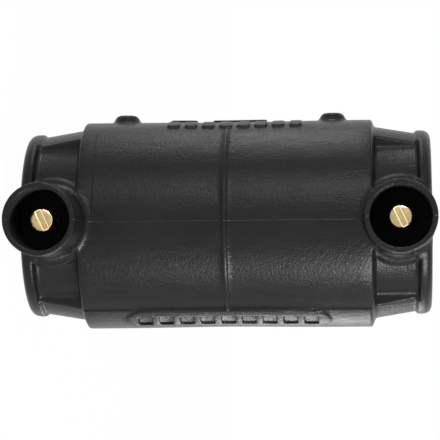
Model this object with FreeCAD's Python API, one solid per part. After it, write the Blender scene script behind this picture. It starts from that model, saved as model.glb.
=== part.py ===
import FreeCAD, Part
import os
from math import acos, degrees, sin, tan

from FreeCAD import Vector

# Electrofusion coupler for 25 mm polyethylene pipe.
# The pipe axis is Z, the two terminal shrouds point to -Y, and the two fusion indicators to -X.
# The origin is the middle of the through bore. All lengths are in millimetres.

# Bore and mouths
pipe_diameter = 25.0
pipe_clearance = 0.15
mouth_flare = 0.8
mouth_depth = 1.4

# Walls of the moulding, measured outwards from the bore
body_wall = 6.95
cone_foot_wall = 5.55
cone_tip_wall = 4.3
bead_wall = 4.8
pocket_floor_wall = 3.5
shroud_floor_wall = 5.75

# Ends of the moulding, in distances back from each end face
half_length = 38.2
shoulder_from_end = 11.3
shoulder_slant = 0.75
shoulder_round = 0.5
notch_from_end = 3.05
bead_flank = 0.35
end_round = 1.6
end_flat_count = 3

# Terminal shrouds
shroud_from_end = 5.9
shroud_rise = 13.2
shroud_outer_radius = 6.6
shroud_wall = 1.0
shroud_land = 1.5
rim_round = 0.25

# Pockets that core out the moulding on both sides of each shroud
pocket_from_end = 2.2
pocket_back = 8.8

# Terminal pins
pin_radius = 2.0
pin_recess = 4.3
pin_tip_chamfer = 0.3
pin_slot_width = 1.1
pin_slot_depth = 0.8
pin_slot_turn = 25.0
pin_root_radius = 2.25
pin_collar_radius = 3.1
pin_collar_depth = 0.8
pin_collar_thickness = 1.2
pin_foot_skin = 1.0

# Heating wire: two wound zones, joined by a straight run and led out to the pins
wire_size = 0.7
wire_room = 0.08
coil_pitch = 2.2
coil_turns = 7
coil_to_pin = 4.9
steps_per_turn = 24
wire_in_pin = 1.2

# Fusion indicators, each in a raised well over the middle of its zone
well_foot_radius = 2.7
well_top_radius = 1.55
well_rise = 1.4
indicator_radius = 1.0
indicator_room = 0.05
indicator_sink = 0.25
indicator_skin = 1.2
indicator_crown = 0.2

# Raised marking band, its pad and the rib of the film gate, by angle from -Y towards +X
band_start_angle = 56.5
band_rise = 0.25
pad_length = 38.6
pad_width = 7.4
pad_rise = 0.3
rib_start_angle = -65.0
rib_width = 1.0
rib_rise = 0.35

# Sizes that follow from those above
bore_radius = pipe_diameter / 2 + pipe_clearance
mouth_radius = bore_radius + mouth_flare
body_radius = bore_radius + body_wall
cone_foot_radius = bore_radius + cone_foot_wall
cone_tip_radius = bore_radius + cone_tip_wall
bead_radius = bore_radius + bead_wall
pocket_floor_radius = bore_radius + pocket_floor_wall
shoulder_height = half_length - shoulder_from_end
shoulder_foot = shoulder_height + shoulder_slant
notch_height = half_length - notch_from_end
pocket_outer_height = half_length - pocket_from_end
shroud_height = half_length - shroud_from_end
shroud_reach = body_radius + shroud_rise
shroud_floor_reach = bore_radius + shroud_floor_wall
shroud_inner_radius = shroud_outer_radius - shroud_wall
boss_radius = shroud_outer_radius + shroud_land
pin_tip_reach = shroud_reach - pin_recess
coil_radius = bore_radius + wire_room + wire_size / 2
coil_seat_radius = coil_radius + wire_size / 2 + wire_room
coil_height = coil_pitch * coil_turns
coil_end_height = shroud_height - coil_to_pin
coil_start_height = coil_end_height - coil_height
pin_foot_reach = coil_seat_radius + pin_foot_skin
indicator_height = coil_start_height + coil_height / 2
well_top_reach = body_radius + well_rise
band_radius = body_radius + band_rise
pad_angle = band_start_angle + degrees(pad_width / 2 / band_radius)
far = 3 * half_length
quarter_turn = 90
half_turn = 180
full_turn = 360

ENDS = {"lower": -1, "upper": 1}


def outline(corners):
    """Points of a closed outline from corners given as (radius, height, rounding, flats).

    A corner with flats is eased by that many short flats that touch its arc, one of them being a bevel.
    """
    points = []
    count = len(corners)
    for index, corner in enumerate(corners):
        here = Vector(corner[0], 0, corner[1])
        if len(corner) == 2:
            points.append(here)
            continue
        rounding, flats = corner[2:]
        before = corners[index - 1]
        after = corners[(index + 1) % count]
        back = (Vector(before[0], 0, before[1]) - here).normalize()
        ahead = (Vector(after[0], 0, after[1]) - here).normalize()
        half_angle = acos(back.dot(ahead)) / 2
        start = here + back * (rounding / tan(half_angle))
        centre = here + (back + ahead).normalize() * (rounding / sin(half_angle))
        axis = (ahead - back).cross(back + ahead)
        turn = FreeCAD.Rotation(axis, (half_turn - degrees(2 * half_angle)) / flats)
        spoke = start - centre
        points.append(start)
        for _ in range(flats):
            spoke = turn.multVec(spoke)
            points.append(centre + spoke)
    return points


def mirrored(shape):
    """The same shape at the other end of the bore."""
    return shape.mirror(Vector(0, 0, 0), Vector(0, 0, 1))


def turned(corners):
    """A solid of revolution about Z from the corners of its half section."""
    points = outline(corners)
    face = Part.Face(Part.makePolygon(points + [points[0]]))
    return face.revolve(Vector(0, 0, 0), Vector(0, 0, 1), full_turn)


def pointing_out(shape, height):
    """Turns a shape made along Z so that it points to -Y, on the axis of a shroud."""
    shape.rotate(Vector(0, 0, 0), Vector(1, 0, 0), quarter_turn)
    shape.translate(Vector(0, 0, height))
    return shape


def ring_sector(inner, outer, low, high, start_angle, end_angle):
    """Part of a ring about Z, from one angle to another, measured from -Y towards +X."""
    sweep = end_angle - start_angle
    base = Vector(0, 0, low)
    up = Vector(0, 0, 1)
    ring = Part.makeCylinder(outer, high - low, base, up, sweep)
    ring = ring.cut(Part.makeCylinder(inner, high - low, base, up))
    ring.rotate(Vector(0, 0, 0), up, start_angle - quarter_turn)
    return ring


def barrel():
    """The turned outside of the moulding with its plain bore."""
    upper_end = [
        (body_radius, shoulder_height, shoulder_round, 1),
        (cone_foot_radius, shoulder_foot),
        (cone_tip_radius, notch_height),
        (bead_radius, notch_height + bead_flank),
        (bead_radius, half_length, end_round, end_flat_count),
        (mouth_radius, half_length),
        (bore_radius, half_length - mouth_depth),
    ]
    lower_end = [(radius, -height, *ease) for radius, height, *ease in reversed(upper_end)]
    return turned(upper_end + lower_end)


def marking_band():
    """The raised band on the +X side, with its stadium pad."""
    end_angle = half_turn - band_start_angle
    band = ring_sector(bore_radius, band_radius, -shoulder_height, shoulder_height, band_start_angle, end_angle)
    straight = pad_length - pad_width
    bar = Part.makeBox(far, pad_width, straight, Vector(0, -pad_width / 2, -straight / 2))
    caps = [
        Part.makeCylinder(pad_width / 2, far, Vector(0, 0, side * straight / 2), Vector(1, 0, 0))
        for side in (-1, 1)
    ]
    stadium = bar.fuse(caps)
    stadium.rotate(Vector(0, 0, 0), Vector(0, 0, 1), pad_angle - quarter_turn)
    shell = Part.makeCylinder(band_radius + pad_rise, pad_length, Vector(0, 0, -pad_length / 2))
    shell = shell.cut(Part.makeCylinder(bore_radius, pad_length, Vector(0, 0, -pad_length / 2)))
    return band.fuse(stadium.common(shell))


def gate_rib():
    """The raised line round the middle of the barrel, left by the film gate."""
    outer = body_radius + rib_rise
    return ring_sector(bore_radius, outer, -rib_width / 2, rib_width / 2, rib_start_angle, band_start_angle)


def shroud_tube(height):
    """The outside of one terminal shroud, kept clear of the end face below the bead."""
    root_reach = (bore_radius + pocket_floor_radius) / 2
    tube = turned([
        (0, root_reach),
        (shroud_outer_radius, root_reach),
        (shroud_outer_radius, shroud_reach, rim_round, 1),
        (0, shroud_reach),
    ])
    tube = pointing_out(tube, height)
    side = 1 if height > 0 else -1
    past_end = Part.makeBox(far, far, far, Vector(-far / 2, -bead_radius, side * half_length - (side < 0) * far))
    return tube.cut(past_end)


def shroud_hollow(height):
    """The inside of one shroud."""
    hollow = Part.makeCylinder(shroud_inner_radius, shroud_reach - shroud_floor_reach)
    hollow.translate(Vector(0, 0, shroud_floor_reach))
    return pointing_out(hollow, height)


def pin_blank(height):
    """The turned pin before its slot and its wire hole are cut."""
    collar_top = shroud_floor_reach - pin_collar_depth
    collar_foot = collar_top - pin_collar_thickness
    blank = turned([
        (0, pin_foot_reach),
        (pin_radius, pin_foot_reach),
        (pin_radius, collar_foot),
        (pin_collar_radius, collar_foot),
        (pin_collar_radius, collar_top),
        (pin_root_radius, collar_top),
        (pin_root_radius, shroud_floor_reach),
        (pin_radius, shroud_floor_reach),
        (pin_radius, pin_tip_reach - pin_tip_chamfer),
        (pin_radius - pin_tip_chamfer, pin_tip_reach),
        (0, pin_tip_reach),
    ])
    return pointing_out(blank, height)


def wire_bar(start, end, room=0.0):
    """A straight square bar of wire between two points, along Z or along Y."""
    half = wire_size / 2 + room
    low = Vector(min(start.x, end.x) - half, min(start.y, end.y) - half, min(start.z, end.z) - half)
    size = end - start
    return Part.makeBox(abs(size.x) + 2 * half, abs(size.y) + 2 * half, abs(size.z) + 2 * half, low)


def wire_lead(end, room=0.0):
    """The wire from the outer end of one zone up to its pin, with room around it if asked for."""
    bend = Vector(0, -coil_radius, end * shroud_height)
    along = wire_bar(Vector(0, -coil_radius, end * coil_end_height), bend, room)
    up = wire_bar(bend, Vector(0, -pin_foot_reach - wire_in_pin + wire_size / 2, end * shroud_height), room)
    return along.fuse(up)


def wire_bridge(room=0.0):
    """The straight run of wire through the cold middle."""
    low = Vector(0, -coil_radius, -coil_start_height)
    high = Vector(0, -coil_radius, coil_start_height)
    return wire_bar(low, high, room)


def opened_to_bore(run):
    """Room for a straight run of wire, widened inwards so that it lies open to the bore."""
    inner = run.copy()
    inner.translate(Vector(0, wire_size, 0))
    return run.fuse(inner)


def coil():
    """One wound zone, starting and ending on the -Y side, as a loft through sections along its helix."""
    half = wire_size / 2
    corners = [(-half, -half), (half, -half), (half, half), (-half, half)]
    sections = []
    for step in range(coil_turns * steps_per_turn + 1):
        turn = FreeCAD.Rotation(Vector(0, 0, 1), full_turn * step / steps_per_turn - quarter_turn)
        climb = Vector(0, 0, coil_start_height + coil_pitch * step / steps_per_turn)
        points = [turn.multVec(Vector(coil_radius + out, 0, up)) + climb for out, up in corners]
        sections.append(Part.makePolygon(points + [points[0]]))
    return Part.makeLoft(sections, True, True)


def heating_wire():
    """The whole wire as one solid."""
    zone = coil()
    shape = wire_bridge().fuse([zone, mirrored(zone), wire_lead(1), wire_lead(-1)])
    return shape.removeSplitter()


def coil_seat(end):
    """The shallow recess that one wound zone lies in."""
    low = coil_start_height - wire_size / 2 - wire_room
    high = coil_end_height + wire_size / 2 + wire_room
    ring = Part.makeCylinder(coil_seat_radius, high - low, Vector(0, 0, low))
    ring = ring.cut(Part.makeCylinder(bore_radius / 2, high - low, Vector(0, 0, low)))
    return ring if end > 0 else mirrored(ring)


def indicator_well(height):
    """The raised cone round one fusion indicator."""
    foot = body_radius - well_rise
    slope = (well_foot_radius - well_top_radius) / well_rise
    cone = turned([
        (0, foot),
        (well_foot_radius + slope * well_rise, foot),
        (well_top_radius, well_top_reach, rim_round, 1),
        (0, well_top_reach),
    ])
    return to_indicator_side(cone, height)


def to_indicator_side(shape, height):
    """Turns a shape made along Z so that it points to -X, over a fusion zone."""
    shape.rotate(Vector(0, 0, 0), Vector(0, 1, 0), -quarter_turn)
    shape.translate(Vector(0, 0, height))
    return shape


def indicator_pin(height):
    """One fusion indicator, sunk a little below the top of its well until the zone is welded."""
    top = well_top_reach - indicator_sink
    pin = turned([
        (0, coil_seat_radius + indicator_skin),
        (indicator_radius, coil_seat_radius + indicator_skin),
        (indicator_radius, top, indicator_crown, 1),
        (0, top),
    ])
    return to_indicator_side(pin, height)


def indicator_hole(height):
    """The blind hole that one fusion indicator stands in."""
    foot = coil_seat_radius + indicator_skin
    hole = Part.makeCylinder(indicator_radius + indicator_room, far, Vector(0, 0, foot))
    return to_indicator_side(hole, height)


def pockets(end):
    """The two pockets beside one shroud, cored out along X."""
    length = pocket_outer_height - shoulder_foot
    low = shoulder_foot if end > 0 else -pocket_outer_height
    block = Part.makeBox(far, far, length, Vector(-far / 2, -far - pocket_back, low))
    block = block.cut(Part.makeCylinder(pocket_floor_radius, far, Vector(0, 0, -far / 2)))
    boss = Part.makeCylinder(boss_radius, far, Vector(0, 0, end * shroud_height), Vector(0, -1, 0))
    return block.cut(boss)


def body():
    """The whole black moulding."""
    shape = barrel()
    shape = shape.fuse([marking_band(), gate_rib()])
    for end in ENDS.values():
        shape = shape.cut(pockets(end))
    shape = shape.fuse([shroud_tube(end * shroud_height) for end in ENDS.values()])
    shape = shape.fuse([indicator_well(end * indicator_height) for end in ENDS.values()])
    for end in ENDS.values():
        shape = shape.cut([
            shroud_hollow(end * shroud_height),
            pin_blank(end * shroud_height),
            coil_seat(end),
            opened_to_bore(wire_lead(end, wire_room)),
            indicator_hole(end * indicator_height),
        ])
    shape = shape.cut(opened_to_bore(wire_bridge(wire_room)))
    return shape.removeSplitter()


def terminal_pin(end):
    """One brass pin, with a slot across its tip and a hole for the wire in its foot."""
    height = end * shroud_height
    slot = Part.makeBox(far, pin_slot_width, far, Vector(-far / 2, -pin_slot_width / 2, 0))
    slot.rotate(Vector(0, 0, 0), Vector(0, 0, 1), pin_slot_turn)
    slot.translate(Vector(0, 0, pin_tip_reach - pin_slot_depth))
    pin = pin_blank(height).cut(pointing_out(slot, height))
    return pin.cut(wire_lead(end))


os.makedirs("parts", exist_ok=True)
body().exportStep("parts/body.step")
heating_wire().exportStep("parts/heating_wire.step")
for name, end in ENDS.items():
    terminal_pin(end).exportStep("parts/terminal_pin_" + name + ".step")
    indicator_pin(end * indicator_height).exportStep("parts/fusion_indicator_" + name + ".step")
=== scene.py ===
from math import cos, pi, radians, sin

import bmesh
import bpy
import numpy as np
from mathutils import Matrix, Vector


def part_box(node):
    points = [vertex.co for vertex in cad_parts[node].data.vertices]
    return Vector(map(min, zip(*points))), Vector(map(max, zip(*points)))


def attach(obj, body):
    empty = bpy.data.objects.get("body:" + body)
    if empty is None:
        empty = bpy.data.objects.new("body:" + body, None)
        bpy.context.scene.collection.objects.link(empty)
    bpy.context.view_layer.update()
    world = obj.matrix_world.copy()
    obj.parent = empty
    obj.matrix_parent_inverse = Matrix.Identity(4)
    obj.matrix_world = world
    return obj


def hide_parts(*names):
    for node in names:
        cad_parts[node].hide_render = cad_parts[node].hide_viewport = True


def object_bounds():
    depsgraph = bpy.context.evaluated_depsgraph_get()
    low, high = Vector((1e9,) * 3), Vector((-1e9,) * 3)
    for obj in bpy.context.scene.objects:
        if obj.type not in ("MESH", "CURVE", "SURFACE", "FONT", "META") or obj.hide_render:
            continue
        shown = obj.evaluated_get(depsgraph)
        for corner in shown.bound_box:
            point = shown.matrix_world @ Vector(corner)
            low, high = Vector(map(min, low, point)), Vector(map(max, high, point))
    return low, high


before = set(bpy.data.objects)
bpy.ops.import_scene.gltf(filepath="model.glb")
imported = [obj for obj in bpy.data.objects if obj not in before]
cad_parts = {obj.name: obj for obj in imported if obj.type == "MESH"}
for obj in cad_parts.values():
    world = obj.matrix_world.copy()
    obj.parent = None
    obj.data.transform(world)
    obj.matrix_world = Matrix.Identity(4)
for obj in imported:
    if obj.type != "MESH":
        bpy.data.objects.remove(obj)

cad_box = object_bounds()

# Sizes of the coupler in millimetres. The pipe axis is Z, the shrouds point to -Y, the indicators to -X.
mm = 0.001
bore_radius = 12.65
mouth_radius = 13.45
mouth_depth = 1.4
half_length = 38.2
body_radius = 19.6
shoulder_height = 27.1
shoulder_foot = 27.65
cone_foot_radius = 18.2
cone_tip_radius = 16.95
notch_height = 35.15
bead_radius = 17.45
bead_flank = 0.35
waist_depth = 0.18
waist_length = 12.0

shroud_height = 32.3
shroud_reach = 32.8
shroud_outer_radius = 6.6
shroud_inner_radius = 5.6
shroud_floor_reach = 18.4
boss_radius = 8.1
shroud_root_ease = 1.7

pocket_floor_radius = 16.15
pocket_outer_foot = 35.55
pocket_outer_height = 36.05
pocket_back = 8.8

band_start_angle = radians(56.5)
band_rise = 0.25
pad_length = 38.6
pad_width = 7.4
pad_rise = 0.3
pad_angle = band_start_angle + pad_width / 2 / (body_radius + band_rise)
pad_recess_pitch = 3.9
pad_recess_width = 2.6
pad_recess_height = 3.8
pad_recess_depth = 0.35
pad_recess_count = 9

rib_start_angle = radians(-65)
rib_width = 1.0
rib_rise = 0.35

tab_angle = radians(-72)
tab_count = 8
tab_pitch = 3.3
tab_first = -10.2
tab_width = 2.4
tab_height = 3.3
tab_rise = 0.45
bar_angle = radians(-94)
bar_rise = 0.5
bar_height = 3.2
short_bar_centre = -8.7
short_bar_length = 5.2
long_bar_centre = 2.0
long_bar_length = 10.4

well_height = 19.7
well_foot_radius = 2.7
well_top_radius = 1.9
well_top_reach = 21.0
indicator_radius = 1.0
indicator_room = 0.05
indicator_foot = 14.71
indicator_top = 20.75

pin_radius = 2.0
pin_tip_reach = 28.5
pin_foot_reach = 14.51
pin_collar_radius = 3.1
pin_collar_foot = 16.4
pin_collar_top = 17.6
pin_root_radius = 2.25
pin_crown_width = 0.4
pin_crown_drop = 0.13
pin_slot_width = 1.1
pin_slot_depth = 0.5
pin_edge_break = 0.06
# Width of the painted highlight bands on the pin rims and slot edges
highlight_band_width = 0.2
pin_slot_turn = radians(25)

wire_radius = 0.35
wire_room = 0.08
coil_radius = 13.08
coil_pitch = 2.2
coil_turns = 7
coil_start_height = 12.0
coil_end_height = coil_start_height + coil_pitch * coil_turns
points_per_turn = 32
seat_radius = coil_radius + wire_radius + wire_room
seat_half_length = coil_pitch * coil_turns / 2 + wire_radius + wire_room

# Widths over which an edge is rounded or a crease is filled, in millimetres
shoulder_round = 0.3
bead_end_round = 1.9
bead_flank_round = 0.2
cone_crease = 0.25
band_edge_round = 0.12
band_end_round = 0.5
band_crease = 0.1
pad_edge_round = 0.2
recess_corner = 0.5
bar_corner = 0.5
bar_edge_round = 0.35
bar_crease = 0.12
rib_round = 0.45
rib_end_round = 0.6
rib_crease = 0.2
well_top_round = 0.6
well_crease = 0.4
pocket_corner = 0.5
pocket_floor_corner = 0.6
pocket_edge_round = 0.3
shroud_rim_round = 0.35
shroud_floor_corner = 0.8
shroud_edge_round = 0.25
mouth_edge_round = 0.15

skin_step = 0.25
body_triangle_limit = 190000
bevel_angle = radians(30)
moulded_sharp_angle = radians(32)
turned_sharp_angle = radians(35)
noise_low = 0.3
noise_high = 0.7
ENDS = {"lower": -1, "upper": 1}


def eased_min(first, second, ease):
    """The nearer of two distances, with the crease between the two shapes filled over the width ease."""
    share = np.maximum(ease - np.abs(first - second), 0) / ease
    return np.minimum(first, second) - share * share * ease / 4


def eased_max(first, second, ease):
    """The further of two distances, with the edge between the two shapes rounded over the width ease."""
    return -eased_min(-first, -second, ease)


def beyond_line(radius, height, from_radius, from_height, to_radius, to_height):
    """Distance outside a straight stretch of a turned outline, which runs up the outside of the part."""
    run = to_radius - from_radius
    rise = to_height - from_height
    return ((radius - from_radius) * rise - (height - from_height) * run) / np.hypot(run, rise)


def around(x, y, angle):
    """Sideways and outward distance from the axis, seen along a direction at an angle from -Y towards +X."""
    sideways = x * cos(angle) + y * sin(angle)
    outward = x * sin(angle) - y * cos(angle)
    return sideways, outward


def barrel_distance(radius, height):
    """The turned outside: barrel, slanted shoulder, cone and bead."""
    slant = beyond_line(radius, height, body_radius, shoulder_height, cone_foot_radius, shoulder_foot)
    barrel = eased_max(radius - body_radius, slant, shoulder_round)
    cone = beyond_line(radius, height, cone_foot_radius, shoulder_foot, cone_tip_radius, notch_height)
    cone = np.maximum(np.maximum(cone, radius - cone_foot_radius), height - notch_height - bead_flank)
    bead = eased_max(radius - bead_radius, height - half_length, bead_end_round)
    flank = beyond_line(radius, height, cone_tip_radius, notch_height, bead_radius, notch_height + bead_flank)
    bead = eased_max(bead, np.maximum(flank, notch_height - height), bead_flank_round)
    return eased_min(eased_min(barrel, cone, cone_crease), bead, cone_crease)


def band_distance(x, y, z, radius, height):
    """The raised marking band with its pad and the plain recesses along it."""
    inside_start = around(x, -np.abs(y), band_start_angle)[0]
    band = eased_max(radius - body_radius - band_rise, -inside_start, band_edge_round)
    band = eased_max(band, height - shoulder_height, band_end_round)
    sideways, outward = around(x, y, pad_angle)
    stadium = np.hypot(sideways, np.maximum(height - (pad_length - pad_width) / 2, 0)) - pad_width / 2
    pad = eased_max(radius - body_radius - band_rise - pad_rise, stadium, pad_edge_round)
    band = eased_min(band, np.maximum(pad, -outward), band_crease)
    nearest = np.clip(np.round(z / pad_recess_pitch), -(pad_recess_count // 2), pad_recess_count // 2)
    along = np.abs(z - nearest * pad_recess_pitch)
    across = np.abs(sideways) - pad_recess_height / 2
    recess = eased_max(along - pad_recess_width / 2, across, recess_corner)
    floor = body_radius + band_rise + pad_rise - pad_recess_depth
    recess = np.maximum(np.maximum(recess, floor - radius), -outward)
    return band, recess


def raised_bar(x, y, z, radius, angle, tall, centre, long, rise):
    """A low rounded bar on the barrel, around a direction given by its angle."""
    sideways, outward = around(x, y, angle)
    flat = eased_max(np.abs(sideways) - tall / 2, np.abs(z - centre) - long / 2, bar_corner)
    return np.maximum(eased_max(flat, radius - body_radius - rise, bar_edge_round), -outward)


def body_distance(x, y, z):
    """Distance outside the moulding, in millimetres, negative inside the plastic."""
    height = np.abs(z)
    plain_radius = np.hypot(x, y)
    radius = plain_radius + waist_depth * np.exp(-(z / waist_length) ** 2)
    out = -y

    solid = barrel_distance(radius, height)
    band, recess = band_distance(x, y, z, radius, height)
    solid = eased_max(eased_min(solid, band, band_crease), -recess, band_edge_round)

    rib = eased_max(radius - body_radius - rib_rise, height - rib_width / 2, rib_round)
    rib = eased_max(rib, -around(x, y, rib_start_angle)[0], rib_end_round)
    rib = np.maximum(rib, around(x, y, band_start_angle)[0])
    solid = eased_min(solid, rib, rib_crease)

    for index in range(tab_count):
        centre = tab_first + tab_pitch * index
        tab = raised_bar(x, y, z, radius, tab_angle, tab_height, centre, tab_width, tab_rise)
        solid = eased_min(solid, tab, bar_crease)
    for centre, long in ((short_bar_centre, short_bar_length), (long_bar_centre, long_bar_length)):
        bar = raised_bar(x, y, z, radius, bar_angle, bar_height, centre, long, bar_rise)
        solid = eased_min(solid, bar, bar_crease)

    from_indicator = np.hypot(y, height - well_height)
    well = beyond_line(from_indicator, -x, well_foot_radius, body_radius, well_top_radius, well_top_reach)
    well = eased_max(well, -x - well_top_reach, well_top_round)
    solid = eased_min(solid, np.maximum(well, bore_radius + x), well_crease)

    from_shroud = np.hypot(x, height - shroud_height)
    end_wall = -beyond_line(
        plain_radius, height, pocket_floor_radius, pocket_outer_foot, bead_radius, pocket_outer_height
    )
    pocket = eased_max(shoulder_foot - height, end_wall, pocket_corner)
    pocket = eased_max(pocket, boss_radius - from_shroud, pocket_corner)
    pocket = eased_max(pocket, y + pocket_back, pocket_corner)
    pocket = eased_max(pocket, pocket_floor_radius - plain_radius, pocket_floor_corner)
    solid = eased_max(solid, -pocket, pocket_edge_round)

    past_end = np.minimum(bead_radius - out, height - half_length)
    tube = eased_max(from_shroud - shroud_outer_radius, out - shroud_reach, shroud_rim_round)
    tube = np.maximum(tube, (bore_radius + pocket_floor_radius) / 2 - out)
    tube = np.maximum(tube, past_end)
    solid = np.maximum(eased_min(solid, tube, shroud_root_ease), past_end)
    hollow = eased_max(from_shroud - shroud_inner_radius, shroud_floor_reach - out, shroud_floor_corner)
    solid = eased_max(solid, -hollow, shroud_edge_round)

    mouth_foot = half_length - mouth_depth
    bore = beyond_line(plain_radius, height, bore_radius, mouth_foot, mouth_radius, half_length)
    bore = np.minimum(bore, plain_radius - bore_radius)
    seat = np.maximum(plain_radius - seat_radius, np.abs(height - well_height) - seat_half_length)
    groove = np.maximum(np.abs(x) - wire_radius - wire_room, out - seat_radius)
    groove = np.maximum(groove, np.maximum(height - shroud_height - wire_radius, -out))
    solid = eased_max(solid, -np.minimum(np.minimum(bore, seat), groove), mouth_edge_round)
    hole = np.maximum(from_indicator - indicator_radius - indicator_room, indicator_foot + x)
    return np.maximum(solid, -hole)


def skin_of(distance, low, high, step):
    """Corner points and four-sided faces of the surface where a distance is zero, on a grid of cubes."""
    axes = [np.arange(start, end + step, step) for start, end in zip(low, high)]
    field = distance(*np.meshgrid(*axes, indexing="ij", sparse=True))
    inside = field < 0
    corners = [np.array((i, j, k)) for i in (0, 1) for j in (0, 1) for k in (0, 1)]
    filled = np.zeros([size - 1 for size in inside.shape], int)
    for corner in corners:
        filled += inside[tuple(slice(c, c + size) for c, size in zip(corner, filled.shape))]
    crossed = (filled > 0) & (filled < len(corners))
    cells = np.argwhere(crossed)
    number = np.full(crossed.shape, -1)
    number[crossed] = np.arange(len(cells))

    total = np.zeros((len(cells), 3))
    hits = np.zeros(len(cells))
    faces = []
    for axis in range(3):
        along = np.eye(3, dtype=int)[axis]
        for corner in (c for c in corners if c[axis] == 0):
            near = field[tuple((cells + corner).T)]
            far = field[tuple((cells + corner + along).T)]
            cut = (near < 0) != (far < 0)
            share = near[cut] / (near[cut] - far[cut])
            total[cut] += cells[cut] + corner + share[:, None] * along
            hits += cut
        near_side = [slice(1, -1)] * 3
        far_side = [slice(1, -1)] * 3
        near_side[axis] = slice(0, -1)
        far_side[axis] = slice(1, None)
        here = inside[tuple(near_side)]
        there = inside[tuple(far_side)]
        left = np.roll(np.eye(3, dtype=int)[0], axis + 1)
        down = np.roll(np.eye(3, dtype=int)[0], axis + 2)
        ring = [0 * left, -left, -left - down, -down]
        for leaving, order in ((here & ~there, 1), (there & ~here, -1)):
            at = np.argwhere(leaving) + 1 - along
            quads = np.stack([number[tuple((at + offset).T)] for offset in ring[::order]], axis=1)
            faces.append(quads)
    points = np.array(low) + step * total / hits[:, None]
    return points, np.concatenate(faces)


def settled(points, distance, probe=0.02, reach=0.15, least_slope=0.5, rounds=2):
    """Moves points the short way onto the surface where a distance is zero."""
    for _ in range(rounds):
        slope = np.zeros_like(points)
        for axis in range(3):
            step = np.eye(3)[axis] * probe
            slope[:, axis] = (distance(*(points + step).T) - distance(*(points - step).T)) / (2 * probe)
        size = np.maximum((slope ** 2).sum(axis=1), least_slope ** 2)
        move = np.clip(distance(*points.T) / size, -reach, reach)
        points = points - slope * move[:, None]
    return points


def piece_from(name, mesh, material, slot_name, *nodes):
    """A visible piece that rides on the part and stands for the nodes that it replaces."""
    piece = bpy.data.objects.new(name, mesh)
    bpy.context.scene.collection.objects.link(piece)
    mesh.materials.clear()
    mesh.materials.append(material)
    mesh.shade_smooth()
    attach(piece, "root")
    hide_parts(*nodes)
    return piece


def made_real(piece):
    """Applies the modifiers of a piece to its mesh."""
    bpy.context.view_layer.update()
    evaluated = piece.evaluated_get(bpy.context.evaluated_depsgraph_get())
    mesh = bpy.data.meshes.new_from_object(evaluated)
    piece.modifiers.clear()
    piece.data = mesh
    return piece


def linear(code):
    """Linear colour from an sRGB hex code."""
    parts = [int(code[i:i + 2], 16) / 255 for i in (1, 3, 5)]
    return (*[part / 12.92 if part <= 0.04045 else ((part + 0.055) / 1.055) ** 2.4 for part in parts], 1.0)


def add(tree, kind, settings=None, links=None):
    """Adds a node, sets its properties and sockets by name, and links its inputs."""
    node = tree.nodes.new(kind)
    for name, value in (settings or {}).items():
        if isinstance(name, str) and hasattr(node, name):
            setattr(node, name, value)
        else:
            node.inputs[name].default_value = value
    for name, source in (links or {}).items():
        tree.links.new(source, node.inputs[name])
    return node


def new_material(name):
    """An empty node material with its output node."""
    material = bpy.data.materials.new(name)
    material.use_nodes = True
    tree = material.node_tree
    tree.nodes.clear()
    return material, tree, add(tree, "ShaderNodeOutputMaterial")


def tool_lines(tree, place):
    """1 along the parting line of the tool halves and round the joint of the lower tool insert, else 0."""
    line_half_width = 0.14 * mm
    insert_height = -24.3 * mm
    spot = add(tree, "ShaderNodeSeparateXYZ", None, {"Vector": place})
    from_insert = add(
        tree, "ShaderNodeMath", {"operation": "SUBTRACT", 1: insert_height}, {0: spot.outputs["Z"]}
    )
    upper_side = add(
        tree, "ShaderNodeMath", {"operation": "LESS_THAN", 1: 0.0}, {0: spot.outputs["X"]}
    )
    heights = []
    for distance in (spot.outputs["X"], from_insert.outputs["Value"]):
        size = add(tree, "ShaderNodeMath", {"operation": "ABSOLUTE"}, {0: distance})
        height = add(
            tree, "ShaderNodeMapRange",
            {"From Max": line_half_width, "To Min": 1.0, "To Max": 0.0},
            {"Value": size.outputs["Value"]},
        )
        heights.append(height.outputs["Result"])
    ring = add(
        tree, "ShaderNodeMath", {"operation": "MULTIPLY"}, {0: heights[1], 1: upper_side.outputs["Value"]}
    )
    both = add(tree, "ShaderNodeMath", {"operation": "MAXIMUM"}, {0: heights[0], 1: ring.outputs["Value"]})
    return both.outputs["Value"]


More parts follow.
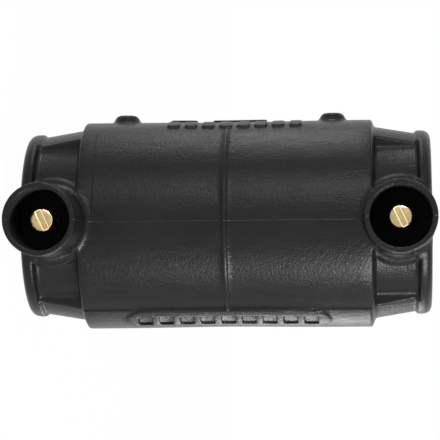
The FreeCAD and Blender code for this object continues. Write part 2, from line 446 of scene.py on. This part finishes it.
def flow_streaks(tree, place):
    """Fine curved streaks that spread from the foot of the upper shroud, where the melt split around it."""
    streak_pitch = 0.06
    streak_length = 9 * mm
    bend = 0.02 / mm
    fade_start = 9 * mm
    fade_end = 24 * mm
    spot = add(tree, "ShaderNodeSeparateXYZ", None, {"Vector": place})
    away = add(
        tree, "ShaderNodeMath", {"operation": "SUBTRACT", 1: shroud_height * mm}, {0: spot.outputs["Z"]}
    )
    bearing = add(
        tree, "ShaderNodeMath", {"operation": "ARCTAN2"}, {0: spot.outputs["X"], 1: away.outputs["Value"]}
    )
    flat = add(tree, "ShaderNodeCombineXYZ", None, {"X": spot.outputs["X"], "Y": away.outputs["Value"]})
    reach = add(tree, "ShaderNodeVectorMath", {"operation": "LENGTH"}, {0: flat.outputs["Vector"]})
    curved = add(
        tree, "ShaderNodeMath", {"operation": "MULTIPLY_ADD", 1: bend},
        {0: reach.outputs["Value"], 2: bearing.outputs["Value"]},
    )
    across = add(
        tree, "ShaderNodeMath", {"operation": "DIVIDE", 1: streak_pitch}, {0: curved.outputs["Value"]}
    )
    along = add(
        tree, "ShaderNodeMath", {"operation": "DIVIDE", 1: streak_length}, {0: reach.outputs["Value"]}
    )
    laid_out = add(
        tree, "ShaderNodeCombineXYZ", None, {"X": across.outputs["Value"], "Y": along.outputs["Value"]}
    )
    streaks = add(
        tree, "ShaderNodeTexNoise", {"Scale": 1.0, "Detail": 3.0, "Distortion": 0.8},
        {"Vector": laid_out.outputs["Vector"]},
    )
    fade = add(
        tree, "ShaderNodeMapRange",
        {"From Min": fade_start, "From Max": fade_end, "To Min": 1.0, "To Max": 0.0},
        {"Value": reach.outputs["Value"]},
    )
    faded = add(
        tree, "ShaderNodeMath", {"operation": "MULTIPLY"},
        {0: streaks.outputs["Fac"], 1: fade.outputs["Result"]},
    )
    return faded.outputs["Value"]


def black_pe100_moulded(name, dark, light, smoothest, roughest, specular):
    """Black PE100, injection moulded: a soft, uneven sheen over a fine grain, with faint flow marks."""
    patch_size = 9 * mm
    flow_width = 1.2 * mm
    flow_stretch = 0.25
    grain_size = 0.42 * mm
    flow_height = 0.07 * mm
    grain_height = 0.055 * mm
    streak_height = 0.06 * mm
    line_height = 0.1 * mm
    material, tree, output = new_material(name)
    place = add(tree, "ShaderNodeTexCoord").outputs["Object"]
    patches = add(
        tree, "ShaderNodeTexNoise",
        {"Scale": 1 / patch_size, "Detail": 3.0, "Roughness": 0.55},
        {"Vector": place},
    )
    colour = add(
        tree, "ShaderNodeMix",
        {"data_type": "RGBA", "A": linear(dark), "B": linear(light)},
        {"Factor": patches.outputs["Fac"]},
    )
    # PE flows in along the pipe axis, so the marks are long that way
    drawn_out = add(tree, "ShaderNodeMapping", {"Scale": (1.0, 1.0, flow_stretch)}, {"Vector": place})
    flow = add(
        tree, "ShaderNodeTexNoise",
        {"Scale": 1 / flow_width, "Detail": 4.0, "Roughness": 0.6, "Distortion": 0.6},
        {"Vector": drawn_out.outputs["Vector"]},
    )
    sheen = add(
        tree, "ShaderNodeMapRange",
        {"From Min": noise_low, "From Max": noise_high, "To Min": smoothest, "To Max": roughest},
        {"Value": flow.outputs["Fac"]},
    )
    # The eroded grain of the tool is about 0.1 mm. It is drawn four times as coarse so that it shows
    grain = add(
        tree, "ShaderNodeTexNoise",
        {"Scale": 1 / grain_size, "Detail": 2.0, "Roughness": 0.6},
        {"Vector": place},
    )
    flow_relief = add(
        tree, "ShaderNodeBump",
        {"Strength": 0.8, "Distance": flow_height},
        {"Height": flow.outputs["Fac"]},
    )
    grain_relief = add(
        tree, "ShaderNodeBump",
        {"Strength": 1.0, "Distance": grain_height},
        {"Height": grain.outputs["Fac"], "Normal": flow_relief.outputs["Normal"]},
    )
    streak_relief = add(
        tree, "ShaderNodeBump",
        {"Strength": 1.0, "Distance": streak_height},
        {"Height": flow_streaks(tree, place), "Normal": grain_relief.outputs["Normal"]},
    )
    line_relief = add(
        tree, "ShaderNodeBump",
        {"Strength": 1.0, "Distance": line_height},
        {"Height": tool_lines(tree, place), "Normal": streak_relief.outputs["Normal"]},
    )
    shader = add(
        tree, "ShaderNodeBsdfPrincipled",
        {"IOR": 1.51, "Specular IOR Level": specular},
        {
            "Base Color": colour.outputs["Result"],
            "Roughness": sheen.outputs["Result"],
            "Normal": line_relief.outputs["Normal"],
        },
    )
    tree.links.new(shader.outputs["BSDF"], output.inputs["Surface"])
    return material


def painted_edge_highlights(tree, place):
    """1 on the rim of a pin and along both edges of its slot, where a pale colour is painted on as a
    highlight, else 0.
    """
    spot = add(tree, "ShaderNodeSeparateXYZ", None, {"Vector": place})
    from_lower_pin = add(
        tree, "ShaderNodeMath", {"operation": "ADD", 1: shroud_height * mm}, {0: spot.outputs["Z"]}
    )
    from_pin = add(
        tree, "ShaderNodeMath", {"operation": "WRAP", 1: shroud_height * mm, 2: -shroud_height * mm},
        {0: from_lower_pin.outputs["Value"]},
    )
    flat = add(tree, "ShaderNodeCombineXYZ", None, {"X": spot.outputs["X"], "Y": from_pin.outputs["Value"]})
    reach = add(tree, "ShaderNodeVectorMath", {"operation": "LENGTH"}, {0: flat.outputs["Vector"]})
    rim = add(
        tree, "ShaderNodeMath", {"operation": "GREATER_THAN", 1: (pin_radius - highlight_band_width) * mm},
        {0: reach.outputs["Value"]},
    )
    across_slot = add(
        tree, "ShaderNodeVectorMath",
        {"operation": "DOT_PRODUCT", 1: (-sin(pin_slot_turn), cos(pin_slot_turn), 0)},
        {0: flat.outputs["Vector"]},
    )
    from_middle = add(
        tree, "ShaderNodeMath", {"operation": "ABSOLUTE"}, {0: across_slot.outputs["Value"]}
    )
    slot_edges = add(
        tree, "ShaderNodeMath",
        {
            "operation": "COMPARE",
            1: pin_slot_width / 2 * mm,
            2: highlight_band_width / 2 * mm,
        },
        {0: from_middle.outputs["Value"]},
    )
    both = add(
        tree, "ShaderNodeMath", {"operation": "MAXIMUM"},
        {0: rim.outputs["Value"], 1: slot_edges.outputs["Value"]},
    )
    return both.outputs["Value"]


def brass_machined():
    """Free-cutting brass turned on a lathe: warm yellow metal, dull in patches, with pale highlights painted
    along the rim and the slot edges of the pins.
    """
    spot_size = 0.8 * mm
    scratch_size = 0.22 * mm
    scratch_height = 0.02 * mm
    material, tree, output = new_material("brass_machined")
    place = add(tree, "ShaderNodeTexCoord").outputs["Object"]
    spots = add(tree, "ShaderNodeTexNoise", {"Scale": 1 / spot_size, "Detail": 3.0}, {"Vector": place})
    colour = add(
        tree, "ShaderNodeMix",
        {"data_type": "RGBA", "A": linear("#A8895A"), "B": linear("#D8C28C")},
        {"Factor": spots.outputs["Fac"]},
    )
    # Painted highlight: the rim and the slot edges of each pin are mixed towards a pale yellow, standing in
    # for glints of light on those edges
    highlighted_colour = add(
        tree, "ShaderNodeMix",
        {"data_type": "RGBA", "B": linear("#FFF4C8")},
        {"Factor": painted_edge_highlights(tree, place), "A": colour.outputs["Result"]},
    )
    wear = add(
        tree, "ShaderNodeMapRange",
        {"From Min": noise_low, "From Max": noise_high, "To Min": 0.2, "To Max": 0.34},
        {"Value": spots.outputs["Fac"]},
    )
    # The feed of the lathe leaves marks 0.1 mm apart, drawn twice as coarse so that they show
    scratch = add(
        tree, "ShaderNodeTexNoise",
        {"Scale": 1 / scratch_size, "Detail": 2.0},
        {"Vector": place},
    )
    relief = add(
        tree, "ShaderNodeBump",
        {"Strength": 0.6, "Distance": scratch_height},
        {"Height": scratch.outputs["Fac"]},
    )
    shader = add(
        tree, "ShaderNodeBsdfPrincipled",
        {"Metallic": 1.0},
        {
            "Base Color": highlighted_colour.outputs["Result"],
            "Roughness": wear.outputs["Result"],
            "Normal": relief.outputs["Normal"],
        },
    )
    tree.links.new(shader.outputs["BSDF"], output.inputs["Surface"])
    return material


def resistance_wire_drawn():
    """Copper-nickel wire, drawn and not yet heated: a dull pinkish metal with darker patches of tarnish."""
    tarnish_size = 3 * mm
    material, tree, output = new_material("resistance_wire_drawn")
    place = add(tree, "ShaderNodeTexCoord").outputs["Object"]
    tarnish = add(tree, "ShaderNodeTexNoise", {"Scale": 1 / tarnish_size, "Detail": 4.0}, {"Vector": place})
    colour = add(
        tree, "ShaderNodeMix",
        {"data_type": "RGBA", "A": linear("#9C7458"), "B": linear("#C99D7C")},
        {"Factor": tarnish.outputs["Fac"]},
    )
    dulled = add(
        tree, "ShaderNodeMapRange",
        {"From Min": noise_low, "From Max": noise_high, "To Min": 0.3, "To Max": 0.5},
        {"Value": tarnish.outputs["Fac"]},
    )
    shader = add(
        tree, "ShaderNodeBsdfPrincipled",
        {"Metallic": 1.0},
        {"Base Color": colour.outputs["Result"], "Roughness": dulled.outputs["Result"]},
    )
    tree.links.new(shader.outputs["BSDF"], output.inputs["Surface"])
    return material


def make_body(plastic, well_shade_plastic):
    """The whole black moulding, with its rounded edges and root fillets as real shape."""
    low, high = (np.array(corner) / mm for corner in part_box("body"))
    points, faces = skin_of(body_distance, low - 2 * skin_step, high + 2 * skin_step, skin_step)
    points = np.clip(settled(points, body_distance), low, high)
    mesh = bpy.data.meshes.new("moulded_body")
    mesh.from_pydata(points * mm, [], faces)
    body = piece_from("moulded_body", mesh, plastic, "pe100_moulding", "body")
    thinner = body.modifiers.new("fewer triangles", "DECIMATE")
    thinner.ratio = body_triangle_limit / (2 * len(faces))
    made_real(body)
    # The faces inside each shroud tube, from its floor to just below its rim, take the duller copy of the
    # plastic as painted shade
    body.data.materials.append(well_shade_plastic)
    for face in body.data.polygons:
        x, y, z = face.center / mm
        in_tube = np.hypot(x, abs(z) - shroud_height) < shroud_inner_radius + skin_step / 2
        past_floor = -y > shroud_floor_reach - skin_step
        below_rim = -y < shroud_reach - shroud_edge_round
        face.material_index = int(in_tube and past_floor and below_rim)
    body.data.shade_smooth()
    body.data.set_sharp_from_angle(angle=moulded_sharp_angle)


def turned_mesh(name, outline, turn, place, sides=96):
    """A turned piece from (radius, height) corners, then turned and placed."""
    same_point = 1e-5
    work = bmesh.new()
    corners = [work.verts.new((radius, 0, height)) for radius, height in outline]
    edges = [work.edges.new(pair) for pair in zip(corners, corners[1:])]
    bmesh.ops.spin(
        work, geom=corners + edges, axis=(0, 0, 1), cent=(0, 0, 0), angle=2 * pi, steps=sides, use_merge=True
    )
    bmesh.ops.remove_doubles(work, verts=work.verts, dist=same_point)
    bmesh.ops.recalc_face_normals(work, faces=work.faces)
    bmesh.ops.transform(work, matrix=Matrix.Scale(mm, 4) @ Matrix.Translation(place) @ turn, verts=work.verts)
    mesh = bpy.data.meshes.new(name)
    work.to_mesh(mesh)
    work.free()
    return mesh


def slot_cutter(place):
    """A block that stands for the mill that cuts the slot across the tip of a pin."""
    work = bmesh.new()
    bmesh.ops.create_cube(work, size=1.0)
    size = Matrix.Diagonal((4 * pin_radius, pin_slot_width, 2 * pin_slot_depth, 1))
    seat = Matrix.Translation((0, 0, pin_tip_reach)) @ Matrix.Rotation(pin_slot_turn, 4, "Z") @ size
    bmesh.ops.transform(work, matrix=Matrix.Scale(mm, 4) @ place @ seat, verts=work.verts)
    mesh = bpy.data.meshes.new("slot_cutter")
    work.to_mesh(mesh)
    work.free()
    cutter = bpy.data.objects.new("slot_cutter", mesh)
    bpy.context.scene.collection.objects.link(cutter)
    return cutter


def make_terminal_pin(end_name, end, brass):
    """A turned brass pin with its collar, a crowned tip and the slot across it."""
    outline = [
        (0, pin_foot_reach),
        (pin_radius, pin_foot_reach),
        (pin_radius, pin_collar_foot),
        (pin_collar_radius, pin_collar_foot),
        (pin_collar_radius, pin_collar_top),
        (pin_root_radius, pin_collar_top),
        (pin_root_radius, shroud_floor_reach),
        (pin_radius, shroud_floor_reach),
        (pin_radius, pin_tip_reach - pin_crown_drop),
        (pin_radius - pin_crown_width, pin_tip_reach),
        (0, pin_tip_reach),
    ]
    outward = Matrix.Rotation(pi / 2, 4, "X")
    place = Vector((0, 0, end * shroud_height))
    name = "turned_pin_" + end_name
    mesh = turned_mesh(name, outline, outward, place)
    pin = piece_from(name, mesh, brass, "turned_brass", "terminal_pin_" + end_name)
    cutter = slot_cutter(Matrix.Translation(place) @ outward)
    cut = pin.modifiers.new("slot", "BOOLEAN")
    cut.object = cutter
    cut.solver = "EXACT"
    ease = pin.modifiers.new("broken edges", "BEVEL")
    ease.width = pin_edge_break * mm
    ease.segments = 2
    ease.limit_method = "ANGLE"
    ease.angle_limit = bevel_angle
    made_real(pin)
    bpy.data.objects.remove(cutter)
    pin.data.shade_smooth()
    pin.data.set_sharp_from_angle(angle=turned_sharp_angle)


def make_indicator(end_name, end, plastic):
    """The small pin that rises when its zone has melted, with a rounded top."""
    crown = 0.25
    crown_steps = 4
    outline = [(0, indicator_foot), (indicator_radius, indicator_foot)]
    for step in range(crown_steps + 1):
        turn = pi / 2 * step / crown_steps
        radius = indicator_radius - crown + crown * cos(turn)
        height = indicator_top - crown + crown * sin(turn)
        outline.append((radius, height))
    outline.append((0, indicator_top))
    sideways = Matrix.Rotation(-pi / 2, 4, "Y")
    place = Vector((0, 0, end * well_height))
    name = "indicator_" + end_name
    mesh = turned_mesh(name, outline, sideways, place)
    pin = piece_from(name, mesh, plastic, "indicator_plastic", "fusion_indicator_" + end_name)
    pin.data.set_sharp_from_angle(angle=turned_sharp_angle)


def make_heating_wire(metal):
    """The round wire: up from one pin, through both wound zones and out to the other pin."""
    run = 1
    zone = []
    for step in range(coil_turns * points_per_turn + 1):
        turn = 2 * pi * step / points_per_turn
        climb = coil_start_height + coil_pitch * step / points_per_turn
        zone.append(Vector((coil_radius * sin(turn), -coil_radius * cos(turn), climb)))
    lead = [
        Vector((0, -coil_radius, coil_end_height + run)),
        Vector((0, -coil_radius, shroud_height - run)),
        Vector((0, -coil_radius, shroud_height)),
        Vector((0, -coil_radius - run, shroud_height)),
        Vector((0, -pin_foot_reach - run, shroud_height)),
    ]
    bridge_end = Vector((0, -coil_radius, coil_start_height - run))
    upper = [bridge_end, *zone, *lead]
    lower = [Vector((p.x, p.y, -p.z)) for p in reversed(upper)]
    line = bpy.data.curves.new("wound_wire", "CURVE")
    line.dimensions = "3D"
    line.bevel_depth = wire_radius * mm
    line.bevel_resolution = 3
    line.use_fill_caps = True
    spline = line.splines.new("NURBS")
    route = lower + upper
    spline.points.add(len(route) - 1)
    for point, at in zip(spline.points, route):
        point.co = (*(at * mm), 1.0)
    spline.order_u = 3
    spline.use_endpoint_u = True
    spline.resolution_u = 2
    maker = bpy.data.objects.new("wound_wire_line", line)
    bpy.context.scene.collection.objects.link(maker)
    bpy.context.view_layer.update()
    evaluated = maker.evaluated_get(bpy.context.evaluated_depsgraph_get())
    mesh = bpy.data.meshes.new_from_object(evaluated)
    bpy.data.objects.remove(maker)
    piece_from("wound_wire", mesh, metal, "resistance_wire", "heating_wire")


def make_floor():
    """A plain pale floor that shows white to the camera and keeps the shadow of the part."""
    floor_half = 600 * mm
    white_share = 0.98
    level = cad_box[0][2]
    mesh = bpy.data.meshes.new("floor")
    corners = [(-floor_half, -floor_half, level), (floor_half, -floor_half, level),
               (floor_half, floor_half, level), (-floor_half, floor_half, level)]
    mesh.from_pydata(corners, [], [(0, 1, 2, 3)])
    floor = bpy.data.objects.new("floor", mesh)
    bpy.context.scene.collection.objects.link(floor)
    material, tree, output = new_material("pale_floor")
    paint = add(tree, "ShaderNodeBsdfDiffuse", {"Color": linear("#F4F4F4")})
    glow = add(tree, "ShaderNodeEmission", {"Color": linear("#FFFFFF"), "Strength": 1.0})
    seen = seen_directly(tree)
    share = add(tree, "ShaderNodeMath", {"operation": "MULTIPLY", 1: white_share}, {0: seen})
    mixed = add(
        tree, "ShaderNodeMixShader", None,
        {"Fac": share.outputs["Value"], 1: paint.outputs["BSDF"], 2: glow.outputs["Emission"]},
    )
    tree.links.new(mixed.outputs["Shader"], output.inputs["Surface"])
    mesh.materials.append(material)


def seen_directly(tree):
    """1 for rays from the camera and for mirrored or refracted ones, 0 for the light that falls on things."""
    path = add(tree, "ShaderNodeLightPath")
    mirrored = add(
        tree, "ShaderNodeMath", {"operation": "MAXIMUM"},
        {0: path.outputs["Is Camera Ray"], 1: path.outputs["Is Glossy Ray"]},
    )
    both = add(
        tree, "ShaderNodeMath", {"operation": "MAXIMUM"},
        {0: mirrored.outputs["Value"], 1: path.outputs["Is Transmission Ray"]},
    )
    return both.outputs["Value"]


def add_soft_box(name, place, width, height, watts):
    """A large soft lamp that looks at the middle of the part."""
    lamp = bpy.data.lights.new(name, "AREA")
    lamp.shape = "RECTANGLE"
    lamp.size = width * mm
    lamp.size_y = height * mm
    lamp.energy = watts
    box = bpy.data.objects.new(name, lamp)
    box.location = Vector(place) * mm
    box.rotation_euler = (-box.location).to_track_quat("-Z", "Y").to_euler()
    bpy.context.scene.collection.objects.link(box)


def light_the_studio():
    """A white surround and large soft boxes above, in front, below and behind."""
    world = bpy.data.worlds.new("studio")
    world.use_nodes = True
    tree = world.node_tree
    tree.nodes.clear()
    fill_level = 0.5
    white_level = 1.0
    strength = add(
        tree, "ShaderNodeMapRange",
        {"To Min": fill_level, "To Max": white_level},
        {"Value": seen_directly(tree)},
    )
    sky = add(
        tree, "ShaderNodeBackground", {"Color": linear("#FFFFFF")}, {"Strength": strength.outputs["Result"]}
    )
    output = add(tree, "ShaderNodeOutputWorld")
    tree.links.new(sky.outputs["Background"], output.inputs["Surface"])
    bpy.context.scene.world = world
    add_soft_box("soft_box_above", place=(-420, 80, -125), width=300, height=300, watts=2.1)
    add_soft_box("soft_box_front", place=(-268, -349, -40), width=170, height=420, watts=1.4)
    add_soft_box("soft_box_below", place=(350, -250, 160), width=110, height=240, watts=3.3)
    add_soft_box("soft_box_behind", place=(330, 330, -60), width=150, height=260, watts=0.9)


def set_up_camera():
    """The camera that was fitted to the picture: distance, turn and frame."""
    distance = 442.86
    turn = radians(3.93)
    tilt = radians(2.23)
    roll = radians(0.44)
    aim_along = 2.01
    aim_across = -0.75
    focal_pixels = 2311.7
    picture_pixels = 440
    right = Vector((0, 0, 1))
    up = Vector((-1, 0, 0))
    toward = Vector((0, -1, 0))
    toward, right = cos(turn) * toward + sin(turn) * right, cos(turn) * right - sin(turn) * toward
    toward, up = cos(tilt) * toward - sin(tilt) * up, cos(tilt) * up + sin(tilt) * toward
    right, up = cos(roll) * right - sin(roll) * up, cos(roll) * up + sin(roll) * right
    view = bpy.data.cameras.new("picture_view")
    view.sensor_width = 36.0
    view.lens = focal_pixels / picture_pixels * view.sensor_width
    view.clip_start = 0.01
    camera = bpy.data.objects.new("picture_view", view)
    stand = distance * toward - aim_along * right - aim_across * up
    camera.matrix_world = Matrix.Translation(stand * mm) @ Matrix((right, up, toward)).transposed().to_4x4()
    bpy.context.scene.collection.objects.link(camera)
    bpy.context.scene.camera = camera


plastic = black_pe100_moulded("black_pe100_moulded", "#0E0E0F", "#171718", 0.27, 0.38, 0.15)
# Painted shade: a rougher, less glossy copy of the plastic for the inside of the shrouds, so that the wells
# render darker than the open plastic
well_shade_plastic = black_pe100_moulded("black_pe100_shaded_in_shroud", "#1C1C1C", "#262626", 0.75, 0.9, 0.08)
indicator_plastic = black_pe100_moulded("black_pe_indicator", "#141415", "#1C1C1D", 0.4, 0.5, 0.15)
brass = brass_machined()
make_body(plastic, well_shade_plastic)
for end_name, end in ENDS.items():
    make_terminal_pin(end_name, end, brass)
    make_indicator(end_name, end, indicator_plastic)
make_heating_wire(resistance_wire_drawn())
make_floor()
light_the_studio()
set_up_camera()
bpy.context.scene.view_settings.view_transform = "Standard"
